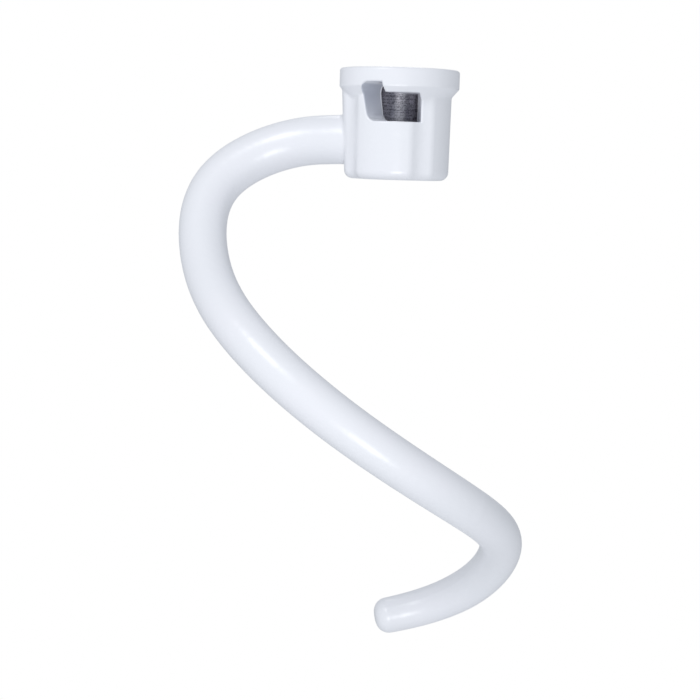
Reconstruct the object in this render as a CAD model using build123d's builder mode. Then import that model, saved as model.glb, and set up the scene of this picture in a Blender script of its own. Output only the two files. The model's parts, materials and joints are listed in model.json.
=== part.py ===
"""Dough hook for a stand mixer, cast in one piece of aluminium.

A round collar slides up onto the mixer's drive shaft and locks on the shaft's cross pin.
One tapered arm leaves the side of the collar and winds down below it as a left-hand spiral.
Millimetres. Z runs up the drive shaft and the origin is the middle of the bore's mouth.
The pin window faces -Y and the arm leaves the collar towards -X.
"""
import os
from math import cos, radians, sin, tan

from build123d import *

os.makedirs("parts", exist_ok=True)

# Collar, measured down from the rim's top face
COLLAR_HEIGHT = 38.3
BODY_DIAMETER = 37.0
BODY_DRAFT = 0.5
BOTTOM_ROUND = 3.0
RIM_OVERHANG = 2.5
RIM_HEIGHT = 6.4
RIM_TOP_ROUND = 1.0
RIM_LOWER_ROUND = 0.8
RIM_UNDERSIDE_SLOPE = 49.0
RIM_FOOT_ROUND = 1.4

# Arm pad, the fuller lobe of the collar that carries the arm, at the rim and at the bottom
PAD_RIM_STANDOUT = 2.3
PAD_FOOT_STANDOUT = 0.25

# Four shallow grip flutes between the lobes
FLUTE_COUNT = 4
FLUTE_RADIUS = 10.0
FLUTE_DEPTH = 1.1
FLUTE_EDGE_ROUND = 4.0

# Drive bore, blind, for a half-inch shaft
SHAFT_DIAMETER = 12.7
SHAFT_CLEARANCE = 0.5
BORE_FLOOR = 5.3
BORE_MOUTH_CHAMFER = 0.5

# Keyway that lets the shaft's cross pin down to the window
PIN_DIAMETER = 5.2
PIN_CLEARANCE = 1.2
PIN_REACH = 13.0
KEYWAY_CENTRE = -0.2

# Pin window in the collar's front wall, where the pin turns and locks; its left side leans
# and closes in towards the bore, its upper left corner is a notch, and it ends at a flute
WINDOW_TOP = 5.0
WINDOW_SHOULDER = 8.4
WINDOW_FLOOR = 18.3
WINDOW_LEFT = -9.0
WINDOW_LEFT_SLANT = 13.7
WINDOW_LEFT_DRAFT = 11.0
WINDOW_TO_FLUTE = 0.7
WINDOW_BACK = 2.0
NOTCH_RIGHT = 0.2
NOTCH_RIGHT_LEAN = 13.0
NOTCH_CORNER = 1.5
WINDOW_CORNER = 1.0
WINDOW_LEAD_CORNER = 3.6
WINDOW_EDGE_ROUND = 0.6

# Arm thickness; the root is thinner than the collar's radius, to sit between two flutes
ARM_ROOT_INSET = 1.0
ARM_NOSE_DIAMETER = 14.6
ARM_END_DIAMETER = 13.3
NOSE_START = 0.91
NOSE_ROUND = 5.0
ARM_ROOT_ROUND = 1.3
ARM_STRETCHES = 6
SECTIONS_PER_STRETCH = 10

# Arm path: turn about the drive axis from -X towards -Y in degrees, reach from the axis,
# and drop below the rim's top face
ARM_STATIONS = (
    (0, 14.0, 24.6),
    (0, 24.0, 25.0),
    (0, 34.0, 25.8),
    (12, 64.0, 42.0),
    (28, 67.0, 66.5),
    (55, 63.0, 90.0),
    (95, 57.0, 119.0),
    (140, 50.0, 146.0),
    (185, 42.5, 166.5),
    (230, 37.0, 190.0),
    (282, 26.0, 203.0),
)

RIM_RADIUS = BODY_DIAMETER / 2 + RIM_OVERHANG
HALF_PITCH = 180 / FLUTE_COUNT
FLUTE_VALLEY = (BODY_DIAMETER / 2 - FLUTE_DEPTH) * sin(radians(HALF_PITCH))
WINDOW_RIGHT = FLUTE_VALLEY - WINDOW_TO_FLUTE
BORE_DIAMETER = SHAFT_DIAMETER + SHAFT_CLEARANCE
BORE_DEPTH = COLLAR_HEIGHT - BORE_FLOOR
KEYWAY_WIDTH = PIN_DIAMETER + PIN_CLEARANCE
ARM_ROOT_DIAMETER = BODY_DIAMETER / 2 - ARM_ROOT_INSET


def station_point(turn, reach, drop):
    """Point on the arm's centre line."""
    angle = radians(turn)
    return Vector(-reach * cos(angle), -reach * sin(angle), -drop)


def arm_diameter(along):
    """Thickness of the arm at a share of its length: a long even taper, then the nose."""
    if along <= NOSE_START:
        share = along / NOSE_START
        return ARM_ROOT_DIAMETER + share * (ARM_NOSE_DIAMETER - ARM_ROOT_DIAMETER)
    share = (along - NOSE_START) / (1 - NOSE_START)
    return ARM_NOSE_DIAMETER + share * (ARM_END_DIAMETER - ARM_NOSE_DIAMETER)


def collar_section(height, pad_standout):
    """Lobed outline of the collar at a height, with draft towards the bottom."""
    body_radius = BODY_DIAMETER / 2 + height * tan(radians(BODY_DRAFT))
    pad_side = Vector(-body_radius, 0).rotate(Axis.Z, HALF_PITCH)
    with BuildSketch(Plane.XY.offset(height)) as section:
        with BuildLine():
            ThreePointArc(pad_side, (-body_radius - pad_standout, 0), (pad_side.X, -pad_side.Y))
            Polyline((pad_side.X, -pad_side.Y), (0, 0), pad_side)
        make_face()
        Circle(body_radius)
        flute_reach = body_radius - FLUTE_DEPTH + FLUTE_RADIUS
        with PolarLocations(flute_reach, FLUTE_COUNT, start_angle=180 + HALF_PITCH):
            Circle(FLUTE_RADIUS, mode=Mode.SUBTRACT)
        fillet(section.vertices(), FLUTE_EDGE_ROUND)
    return section.sketch


def window_section(forward):
    """Outline of the pin window at a distance forward of the drive axis."""
    left = WINDOW_LEFT + (BODY_DIAMETER / 2 - forward) * tan(radians(WINDOW_LEFT_DRAFT))
    lead = (WINDOW_FLOOR - WINDOW_TOP) * tan(radians(WINDOW_LEFT_SLANT))
    notch_lean = (WINDOW_SHOULDER - WINDOW_TOP) * tan(radians(NOTCH_RIGHT_LEAN))
    with BuildSketch(Plane.XZ.offset(forward)) as section:
        with BuildLine():
            Polyline(
                (left, -WINDOW_TOP),
                (NOTCH_RIGHT, -WINDOW_TOP),
                (NOTCH_RIGHT + notch_lean, -WINDOW_SHOULDER),
                (WINDOW_RIGHT, -WINDOW_SHOULDER),
                (WINDOW_RIGHT, -WINDOW_FLOOR),
                (left + lead, -WINDOW_FLOOR),
                close=True,
            )
        make_face()
        corners = section.vertices().sort_by(Axis.X)
        fillet(corners[:2], WINDOW_LEAD_CORNER)
        fillet(corners[3], NOTCH_CORNER)
        fillet(corners[4:], WINDOW_CORNER)
    return section.sketch


def least_reach(edge):
    """Distance from the drive axis to the nearer end of an edge."""
    return min(Vector(end.X, end.Y).length for end in edge.vertices())


with BuildLine() as arm_path:
    Spline([station_point(*station) for station in ARM_STATIONS])

with BuildPart() as dough_hook:
    # Lobed collar body
    rim_section = collar_section(0, PAD_RIM_STANDOUT)
    foot_section = collar_section(-COLLAR_HEIGHT, PAD_FOOT_STANDOUT)
    loft([rim_section, foot_section], ruled=True)
    fillet(dough_hook.faces().sort_by(Axis.Z)[0].edges(), BOTTOM_ROUND)

    # Round rim with a sloping underside that runs into the body
    inner_radius = BODY_DIAMETER / 2 - FLUTE_DEPTH - RIM_FOOT_ROUND
    underside_drop = (RIM_RADIUS - inner_radius) * tan(radians(RIM_UNDERSIDE_SLOPE))
    with BuildSketch(Plane.XZ) as rim_profile:
        with BuildLine():
            Polyline(
                (0, 0),
                (RIM_RADIUS, 0),
                (RIM_RADIUS, -RIM_HEIGHT),
                (inner_radius, -RIM_HEIGHT - underside_drop),
                (0, -RIM_HEIGHT - underside_drop),
                close=True,
            )
        make_face()
        outer_corners = rim_profile.vertices().group_by(Axis.X)[-1].sort_by(Axis.Y)
        fillet(outer_corners[1], RIM_TOP_ROUND)
        fillet(rim_profile.vertices().group_by(Axis.X)[-1].sort_by(Axis.Y)[0], RIM_LOWER_ROUND)
    revolve(axis=Axis.Z)
    underside = dough_hook.faces().filter_by(GeomType.CONE)[0]
    rim_corner = -RIM_HEIGHT - RIM_LOWER_ROUND
    rim_foot = underside.edges().filter_by(lambda edge: edge.center().Z < rim_corner)
    fillet(rim_foot, RIM_FOOT_ROUND)

    # Tapered arm, lofted in stretches, its sections carried along the path without twist
    crosswise = Vector(0, 1, 0)
    for stretch in range(ARM_STRETCHES):
        for step in range(SECTIONS_PER_STRETCH + 1):
            along = (stretch + step / SECTIONS_PER_STRETCH) / ARM_STRETCHES
            tangent = arm_path.line % along
            crosswise = crosswise - tangent * crosswise.dot(tangent)
            with BuildSketch(Plane(arm_path.line @ along, x_dir=crosswise, z_dir=tangent)):
                Circle(arm_diameter(along) / 2)
        loft()
        if stretch == 0:
            new_edges = dough_hook.edges(Select.NEW)
            arm_root = new_edges.filter_by(lambda edge: abs(edge.center().X) < RIM_RADIUS)
            fillet(arm_root, ARM_ROOT_ROUND)

    # Rounded nose, turned about the arm's last direction
    nose_axis = Axis(arm_path.line @ 1, arm_path.line % 1)
    nose_radius = ARM_END_DIAMETER / 2
    sideways = crosswise.cross(nose_axis.direction)
    with BuildSketch(Plane(nose_axis.position, x_dir=crosswise, z_dir=sideways)):
        with BuildLine():
            Line((0, 0), (nose_radius, 0))
            RadiusArc((nose_radius, 0), (nose_radius - NOSE_ROUND, NOSE_ROUND), -NOSE_ROUND)
            Line((nose_radius - NOSE_ROUND, NOSE_ROUND), (0, NOSE_ROUND))
            Line((0, NOSE_ROUND), (0, 0))
        make_face()
    revolve(axis=nose_axis)

    # Blind drive bore from the top
    with BuildSketch():
        Circle(BORE_DIAMETER / 2)
    extrude(amount=-BORE_DEPTH, mode=Mode.SUBTRACT)
    bore_mouth = dough_hook.faces().sort_by(Axis.Z)[-1].inner_wires()[0].edges()
    chamfer(bore_mouth, BORE_MOUTH_CHAMFER)

    # Keyway from the bore's mouth
    with BuildSketch():
        with Locations((KEYWAY_CENTRE, -PIN_REACH / 2)):
            Rectangle(KEYWAY_WIDTH, PIN_REACH)
    extrude(amount=-WINDOW_SHOULDER, mode=Mode.SUBTRACT)

    # Window from outside the rim to behind the drive axis
    loft([window_section(RIM_RADIUS), window_section(-WINDOW_BACK)], ruled=True, mode=Mode.SUBTRACT)
    pin_room = PIN_REACH + PIN_CLEARANCE
    window_rim = dough_hook.edges(Select.NEW).filter_by(lambda edge: least_reach(edge) > pin_room)
    fillet(window_rim, WINDOW_EDGE_ROUND)

dough_hook.part.label = "dough_hook"
export_step(dough_hook.part, "parts/dough_hook.step")
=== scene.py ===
"""Looks of a coated stand mixer dough hook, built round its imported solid.

The hook is one aluminium casting with a satin white coating. The drive bore in its collar is bare turned
metal. Sizes are metres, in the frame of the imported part: Z runs up the drive shaft, from the bore's mouth.
"""
import json
import math

import bmesh
import bpy
from bpy.props import FloatProperty, FloatVectorProperty, PointerProperty
from mathutils import Matrix, Vector


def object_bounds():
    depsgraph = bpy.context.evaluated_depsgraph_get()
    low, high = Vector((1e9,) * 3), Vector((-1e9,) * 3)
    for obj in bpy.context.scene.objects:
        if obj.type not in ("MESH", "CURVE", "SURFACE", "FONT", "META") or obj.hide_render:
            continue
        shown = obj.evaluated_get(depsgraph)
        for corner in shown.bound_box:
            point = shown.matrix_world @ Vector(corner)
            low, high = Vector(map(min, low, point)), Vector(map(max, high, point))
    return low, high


bl_info = {
    "name": "Mixer Dough Hook",
    "version": (1, 0, 0),
    "blender": (4, 5, 0),
    "location": "3D View > Sidebar > Dough Hook",
    "description": "Coats the casting of a mixer dough hook and sets it in a plain studio",
    "category": "Object",
}

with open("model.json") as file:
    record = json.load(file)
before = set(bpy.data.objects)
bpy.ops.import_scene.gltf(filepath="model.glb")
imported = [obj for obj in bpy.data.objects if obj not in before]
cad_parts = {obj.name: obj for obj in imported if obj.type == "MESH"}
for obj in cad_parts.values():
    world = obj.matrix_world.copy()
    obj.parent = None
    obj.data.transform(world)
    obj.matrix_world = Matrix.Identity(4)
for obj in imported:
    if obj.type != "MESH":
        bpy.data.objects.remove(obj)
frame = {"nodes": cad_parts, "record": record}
CAD_BOX = [list(corner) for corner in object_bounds()]
HOOK_NODE = "dough_hook"
COATING_SLOT = "coated_casting"

# Drive bore, from the record
MILLIMETRE = 0.001
BORE_SIZES = frame["record"]["mounts"][0]["dims"]
BORE_RADIUS = BORE_SIZES["r_mm"] * MILLIMETRE
BORE_DEPTH = BORE_SIZES["length_mm"] * MILLIMETRE
ACROSS_BORE = (1.0, 1.0, 0.0)

# Ranges that ramps spread: noise values, and the part of a normal along X
WAVER_RANGE = (0.3, 0.7)
MARK_RANGE = (0.35, 0.6)
LEFT_WALL_RANGE = (0.35, 0.7)

# Studio
WHITE = (1.0, 1.0, 1.0, 1.0)
SENSOR_WIDTH = 36.0
NEAREST_VIEW = 0.05
FARTHEST_VIEW = 20.0
SOFTBOXES = ("upper", "lower", "back")
FLOOR_SIDES = 96
FLOOR_ROUGHNESS = 0.8


def colour_setting(name, description, default):
    """A colour that a user may change."""
    return FloatVectorProperty(
        name=name, description=description, subtype="COLOR", size=4, min=0.0, max=1.0, default=default
    )


def place_setting(name, description, default):
    """A place in the frame that a user may change."""
    return FloatVectorProperty(
        name=name,
        description=description,
        subtype="TRANSLATION",
        unit="LENGTH",
        precision=5,
        size=3,
        default=default,
    )


def length_setting(name, description, default):
    """A length that a user may change."""
    return FloatProperty(name=name, description=description, unit="LENGTH", precision=5, default=default)


def angle_setting(name, description, degrees):
    """An angle that a user may change."""
    return FloatProperty(name=name, description=description, subtype="ANGLE", default=math.radians(degrees))


def power_setting(name, description, default):
    """A light's power that a user may change."""
    return FloatProperty(name=name, description=description, unit="POWER", default=default)


def share_setting(name, description, default):
    """A share from none to all that a user may change."""
    return FloatProperty(
        name=name, description=description, subtype="FACTOR", min=0.0, max=1.0, default=default
    )


class CoatingFinish(bpy.types.PropertyGroup):
    """The satin white coating on the casting."""

    colour: colour_setting("Colour", "Cool white of the coating", (0.86, 0.877, 0.915, 1.0))
    tint: colour_setting("Tint", "White that the colour drifts towards", (0.875, 0.875, 0.925, 1.0))
    patch_size: length_setting("Patch size", "Width of the patches where the white drifts", 0.022)
    roughness: share_setting("Roughness", "Roughness of the satin coating", 0.3)
    peel_size: length_setting("Peel size", "Width of the fine waves in the coating", 0.003)
    peel_depth: length_setting("Peel depth", "Height of the fine waves in the coating", 0.00008)
    # Painted shade: the next four settings set a grey on the window's left wall near its notch, standing in
    # for the shade in the window pocket.
    painted_shade: colour_setting("Thin", "Grey white where the coating is thin", (0.6, 0.63, 0.71, 1.0))
    painted_shade_place: place_setting("Thin place", "Notch where the coating is thinnest", (-0.006, -0.012, -0.005))
    painted_shade_core: length_setting("Thin core", "Distance from the notch with the thinnest coating", 0.004)
    painted_shade_reach: length_setting("Thin reach", "Distance from the notch where the coating is full", 0.02)
    bead_crest: length_setting("Bead crest", "Width of the full white on the thick edge", 0.00045)
    bead_width: length_setting("Bead width", "Width of the thick edge round the bore", 0.0009)
    bead_depth: length_setting("Bead depth", "Height of the thick edge round the bore", 0.0009)


class BareBoreFinish(bpy.types.PropertyGroup):
    """The turned metal of the drive bore."""

    colour: colour_setting("Colour", "Light grey of the turned metal", (0.62, 0.61, 0.66, 1.0))
    dark: colour_setting("Dark marks", "Grey at the bottom of the turning marks", (0.19, 0.185, 0.21, 1.0))
    roughness: share_setting("Roughness", "Roughness of the turned metal", 0.33)
    mark_pitch: length_setting("Mark pitch", "Spacing of the turning marks", 0.00035)
    mark_length: length_setting("Mark length", "Length of one turning mark round the bore", 0.009)
    mark_depth: length_setting("Mark depth", "Depth of the marks and pits", 0.00005)
    pit_size: length_setting("Pit size", "Width of the pits that the tool left", 0.0005)
    pit_share: share_setting("Pit share", "Share of pits among the marks", 0.5)
    mouth_chamfer: length_setting("Mouth chamfer", "Chamfer at the bore's mouth", 0.0005)
    edge_near: length_setting("Edge near", "Least distance of the coating from the bore", 0.00006)
    edge_far: length_setting("Edge far", "Most distance of the coating from the bore", 0.00018)
    edge_wave: length_setting("Edge wave", "Length of the waves in the coating's edge", 0.001)


class StudioStage(bpy.types.PropertyGroup):
    """Floor, light and camera."""

    camera_azimuth: angle_setting("Camera azimuth", "Turn round the drive axis from the window", 17.5)
    camera_distance: length_setting("Camera distance", "Level distance from the drive axis", 0.6)
    camera_height: length_setting("Camera height", "Height above the bore's mouth", -0.02934)
    camera_turn: angle_setting("Camera turn", "Turn of the lens to the right of the drive axis", -1.378)
    camera_tilt: angle_setting("Camera tilt", "Tilt of the lens above level", -6.656)
    camera_roll: angle_setting("Camera roll", "Roll about the line of sight", 1.8)
    camera_lens: FloatProperty(
        name="Lens", description="Focal length in millimetres on the camera's sensor", default=87.017
    )
    upper_power: power_setting("Upper power", "Power of the softbox above the camera", 2.15)
    upper_azimuth: angle_setting("Upper azimuth", "Turn of the upper softbox from the camera", -34.0)
    upper_elevation: angle_setting("Upper elevation", "Height of the upper softbox above level", 43.0)
    lower_power: power_setting("Lower power", "Power of the softbox below the camera", 2.45)
    lower_azimuth: angle_setting("Lower azimuth", "Turn of the lower softbox from the camera", 2.5)
    lower_elevation: angle_setting("Lower elevation", "Height of the lower softbox above level", -14.0)
    back_power: power_setting("Back power", "Power of the softbox behind the hook", 1.0)
    back_azimuth: angle_setting("Back azimuth", "Turn of the back softbox from the camera", 180.0)
    back_elevation: angle_setting("Back elevation", "Height of the back softbox above level", 50.0)
    softbox_distance: length_setting("Softbox distance", "Distance from the hook's middle", 0.9)
    softbox_size: length_setting("Softbox size", "Width of a softbox", 0.3)
    fill: colour_setting("Fill", "Cool light from the plain surroundings", (0.51, 0.533, 0.562, 1.0))
    floor_colour: colour_setting("Floor colour", "Pale grey of the floor", (0.86, 0.87, 0.88, 1.0))
    floor_drop: length_setting("Floor drop", "Depth of the floor below the hook", 0.5)
    floor_solid: length_setting("Floor solid", "Radius where the floor starts to fade", 0.55)
    floor_radius: length_setting("Floor radius", "Radius of the round floor", 1.1)


def add_node(tree, kind, inputs, **settings):
    """Shader node with its settings, its inputs joined to sockets or set to values."""
    node = tree.nodes.new(kind)
    for name, value in settings.items():
        setattr(node, name, value)
    for key, value in inputs.items():
        if isinstance(value, bpy.types.NodeSocket):
            tree.links.new(value, node.inputs[key])
        else:
            node.inputs[key].default_value = value
    return node


def work_out(tree, operation, first, second):
    """Result of an operation on two numbers or sockets."""
    return add_node(tree, "ShaderNodeMath", {0: first, 1: second}, operation=operation).outputs[0]


def work_out_vector(tree, operation, first, second=(0.0, 0.0, 0.0)):
    """Node that works on two vectors or sockets."""
    return add_node(tree, "ShaderNodeVectorMath", {0: first, 1: second}, operation=operation)


def ramp(tree, value, start, end, low, high):
    """Value taken smoothly from the range start to end into the range low to high."""
    sockets = {"Value": value, "From Min": start, "From Max": end, "To Min": low, "To Max": high}
    return add_node(tree, "ShaderNodeMapRange", sockets, interpolation_type="SMOOTHSTEP").outputs["Result"]


def mix_number(tree, share, first, second):
    """Number or socket that goes from first to second."""
    sockets = {0: share, 2: first, 3: second}
    return add_node(tree, "ShaderNodeMix", sockets, data_type="FLOAT").outputs[0]


def mix_colour(tree, share, first, second):
    """Colour or socket that goes from first to second."""
    sockets = {0: share, 6: first, 7: second}
    return add_node(tree, "ShaderNodeMix", sockets, data_type="RGBA").outputs[2]


def grain(tree, place, across, upward, detail):
    """Noise with features of one width across the drive axis and another up it."""
    stretch = (1.0 / across, 1.0 / across, 1.0 / upward)
    scaled = work_out_vector(tree, "MULTIPLY", place, stretch).outputs["Vector"]
    sockets = {"Vector": scaled, "Scale": 1.0, "Detail": detail}
    return add_node(tree, "ShaderNodeTexNoise", sockets).outputs[0]


def bore_reach(tree, place):
    """Distance of a place from the wall of the bore, negative inside it."""
    level = work_out_vector(tree, "MULTIPLY", place, ACROSS_BORE).outputs["Vector"]
    radius = work_out_vector(tree, "LENGTH", level).outputs["Value"]
    return work_out(tree, "SUBTRACT", radius, BORE_RADIUS)


def bare_share(tree, place, height, reach, finish):
    """Share of bare metal: all of the bore and of the chamfer at its mouth, none of the coating."""
    mouth = work_out(tree, "MAXIMUM", work_out(tree, "ADD", height, finish.mouth_chamfer), 0.0)
    waver = grain(tree, place, finish.edge_wave, finish.edge_wave, detail=2.0)
    edge = ramp(tree, waver, *WAVER_RANGE, finish.edge_near, finish.edge_far)
    inside = work_out(tree, "SUBTRACT", work_out(tree, "ADD", mouth, edge), reach)
    return ramp(tree, inside, 0.0, finish.edge_near, 0.0, 1.0)


def coating_colour(tree, coordinates, reach, finish):
    """White that drifts in patches, with painted shade greying the window's left wall near its notch, away
    from the bore's edge.
    """
    place = coordinates.outputs["Object"]
    patches = grain(tree, place, finish.patch_size, finish.patch_size, detail=3.0)
    full_white = mix_colour(tree, patches, tuple(finish.colour), tuple(finish.tint))
    # Painted shade: faces turned towards +X near the notch turn grey like the shade in the window pocket,
    # while the bead round the bore stays full white.
    facing = add_node(tree, "ShaderNodeSeparateXYZ", {0: coordinates.outputs["Normal"]}).outputs["X"]
    left_wall = ramp(tree, facing, *LEFT_WALL_RANGE, 0.0, 1.0)
    off_bead = ramp(tree, reach, finish.bead_crest, finish.bead_width, 0.0, 1.0)
    away = work_out_vector(tree, "DISTANCE", place, tuple(finish.painted_shade_place)).outputs["Value"]
    near_notch = ramp(tree, away, finish.painted_shade_reach, finish.painted_shade_core, 0.0, 1.0)
    painted_shade_share = work_out(tree, "MULTIPLY", work_out(tree, "MULTIPLY", left_wall, off_bead), near_notch)
    return mix_colour(tree, painted_shade_share, full_white, tuple(finish.painted_shade))


def coating_relief(tree, place, reach, above_floor, finish):
    """Height of the coating's fine waves and of its thick edge round the bore."""
    waves = grain(tree, place, finish.peel_size, finish.peel_size, detail=1.0)
    peel = work_out(tree, "MULTIPLY", waves, finish.peel_depth)
    bead = ramp(tree, reach, finish.bead_width, 0.0, 0.0, finish.bead_depth)
    return work_out(tree, "ADD", peel, work_out(tree, "MULTIPLY", bead, above_floor))


def turning_marks(tree, place, finish):
    """Noise of the lines and pits that turning left in the bore."""
    lines = grain(tree, place, finish.mark_length, finish.mark_pitch, detail=3.0)
    pits = grain(tree, place, finish.pit_size, finish.pit_size, detail=2.0)
    return mix_number(tree, finish.pit_share, lines, pits)


def casting_material(coating, bore):
    """Satin white coating with a bare turned bore."""
    material = bpy.data.materials.new(COATING_SLOT)
    material.use_nodes = True
    tree = material.node_tree
    shader = tree.nodes["Principled BSDF"]
    coordinates = add_node(tree, "ShaderNodeTexCoord", {})
    place = coordinates.outputs["Object"]
    height = add_node(tree, "ShaderNodeSeparateXYZ", {0: place}).outputs["Z"]
    reach = bore_reach(tree, place)
    above_floor = work_out(tree, "GREATER_THAN", height, -BORE_DEPTH - bore.edge_near)
    bare = work_out(tree, "MULTIPLY", bare_share(tree, place, height, reach, bore), above_floor)

    # Coating
    white = coating_colour(tree, coordinates, reach, coating)
    coating_height = coating_relief(tree, place, reach, above_floor, coating)

    # Turned metal
    marks = turning_marks(tree, place, bore)
    brightness = ramp(tree, marks, *MARK_RANGE, 0.0, 1.0)
    grey = mix_colour(tree, brightness, tuple(bore.dark), tuple(bore.colour))
    mark_height = work_out(tree, "MULTIPLY", marks, bore.mark_depth)

    relief = mix_number(tree, bare, coating_height, mark_height)
    bump = add_node(tree, "ShaderNodeBump", {"Height": relief, "Distance": 1.0})
    surface = {
        "Base Color": mix_colour(tree, bare, white, grey),
        "Metallic": bare,
        "Roughness": mix_number(tree, bare, coating.roughness, bore.roughness),
        "Normal": bump.outputs["Normal"],
    }
    for name, socket in surface.items():
        tree.links.new(socket, shader.inputs[name])
    return material


def place_camera(stage):
    """Camera at the photograph's viewing angle."""
    turn, tilt, roll = stage.camera_turn, stage.camera_tilt, stage.camera_roll
    ahead = Vector((math.sin(turn) * math.cos(tilt), math.cos(turn) * math.cos(tilt), math.sin(tilt)))
    level = Vector((math.cos(turn), -math.sin(turn), 0.0))
    upward = level.cross(ahead)
    right = math.cos(roll) * level + math.sin(roll) * upward
    top = math.cos(roll) * upward - math.sin(roll) * level
    facing = Matrix((right, top, -ahead)).transposed().to_4x4()
    standing = Matrix.Translation((0.0, -stage.camera_distance, stage.camera_height))
    data = bpy.data.cameras.new("photo_camera")
    data.sensor_width = SENSOR_WIDTH
    data.lens = stage.camera_lens
    data.clip_start = NEAREST_VIEW
    data.clip_end = FARTHEST_VIEW
    camera = bpy.data.objects.new("photo_camera", data)
    camera.matrix_world = Matrix.Rotation(stage.camera_azimuth, 4, "Z") @ standing @ facing
    bpy.context.scene.collection.objects.link(camera)
    bpy.context.scene.camera = camera


def place_softbox(stage, side, middle):
    """Round soft light on one side, facing the hook's middle."""
    name = f"{side}_softbox"
    data = bpy.data.lights.new(name, "AREA")
    data.shape = "DISK"
    data.size = stage.softbox_size
    data.energy = getattr(stage, f"{side}_power")
    light = bpy.data.objects.new(name, data)
    turn = stage.camera_azimuth + getattr(stage, f"{side}_azimuth")
    elevation = getattr(stage, f"{side}_elevation")
    level = math.cos(elevation)
    towards = Vector((math.sin(turn) * level, -math.cos(turn) * level, math.sin(elevation)))
    light.location = middle + stage.softbox_distance * towards
    light.rotation_euler = towards.to_track_quat("Z", "Y").to_euler()
    bpy.context.scene.collection.objects.link(light)


def surround(stage):
    """Plain white surroundings, dimmer as a light than as a backdrop."""
    world = bpy.data.worlds.new("studio")
    bpy.context.scene.world = world
    world.use_nodes = True
    tree = world.node_tree
    seen = add_node(tree, "ShaderNodeLightPath", {}).outputs["Is Camera Ray"]
    backdrop = tree.nodes["Background"]
    tree.links.new(mix_colour(tree, seen, tuple(stage.fill), WHITE), backdrop.inputs["Color"])


def lay_floor(stage, lowest):
    """Pale round floor well below the hook, fading out towards its edge."""
    mesh = bpy.data.meshes.new("floor")
    outline = bmesh.new()
    bmesh.ops.create_circle(outline, cap_ends=True, segments=FLOOR_SIDES, radius=stage.floor_radius)
    outline.to_mesh(mesh)
    outline.free()
    floor = bpy.data.objects.new("floor", mesh)
    floor.location = (0.0, 0.0, lowest - stage.floor_drop)
    bpy.context.scene.collection.objects.link(floor)
    material = bpy.data.materials.new("pale_floor")
    material.use_nodes = True
    tree = material.node_tree
    shader = tree.nodes["Principled BSDF"]
    shader.inputs["Base Color"].default_value = stage.floor_colour
    shader.inputs["Roughness"].default_value = FLOOR_ROUGHNESS
    place = add_node(tree, "ShaderNodeTexCoord", {}).outputs["Object"]
    radius = work_out_vector(tree, "LENGTH", place).outputs["Value"]
    fade = ramp(tree, radius, stage.floor_radius, stage.floor_solid, 0.0, 1.0)
    tree.links.new(fade, shader.inputs["Alpha"])
    mesh.materials.append(material)


class DOUGHHOOK_OT_coat_casting(bpy.types.Operator):
    """Coat the casting and leave its bore bare"""

    bl_idname = "doughhook.coat_casting"
    bl_label = "Coat Casting"

    def execute(self, context):
        scene = context.scene
        hook = frame["nodes"][HOOK_NODE]
        hook.data.materials.clear()
        hook.data.materials.append(casting_material(scene.dough_hook_coating, scene.dough_hook_bore))
        return {"FINISHED"}


class DOUGHHOOK_OT_set_stage(bpy.types.Operator):
    """Set the floor, the light and the camera"""

    bl_idname = "doughhook.set_stage"
    bl_label = "Set Stage"

    def execute(self, context):
        stage = context.scene.dough_hook_stage
        lowest, highest = (Vector(corner) for corner in CAD_BOX)
        middle = (lowest + highest) / 2
        place_camera(stage)
        for side in SOFTBOXES:
            place_softbox(stage, side, middle)
        surround(stage)
        lay_floor(stage, lowest.z)
        context.scene.view_settings.view_transform = "Standard"
        return {"FINISHED"}


class DOUGHHOOK_PT_panel(bpy.types.Panel):
    """Operators and settings of the dough hook"""

    bl_idname = "DOUGHHOOK_PT_panel"
    bl_label = "Dough Hook"
    bl_space_type = "VIEW_3D"
    bl_region_type = "UI"
    bl_category = "Dough Hook"

    def draw(self, context):
        for operator in OPERATORS:
            self.layout.operator(operator.bl_idname)
        for name, group in SETTINGS.items():
            box = self.layout.box()
            for setting in group.__annotations__:
                box.prop(getattr(context.scene, name), setting)


OPERATORS = (DOUGHHOOK_OT_coat_casting, DOUGHHOOK_OT_set_stage)
SETTINGS = {
    "dough_hook_coating": CoatingFinish,
    "dough_hook_bore": BareBoreFinish,
    "dough_hook_stage": StudioStage,
}
CLASSES = (*SETTINGS.values(), *OPERATORS, DOUGHHOOK_PT_panel)


def register():
    for cls in CLASSES:
        bpy.utils.register_class(cls)
    for name, group in SETTINGS.items():
        setattr(bpy.types.Scene, name, PointerProperty(type=group))


def unregister():
    for name in SETTINGS:
        delattr(bpy.types.Scene, name)
    for cls in reversed(CLASSES):
        bpy.utils.unregister_class(cls)


def main():
    register()
    bpy.ops.doughhook.coat_casting()
    bpy.ops.doughhook.set_stage()


if __name__ == "__main__":
    main()
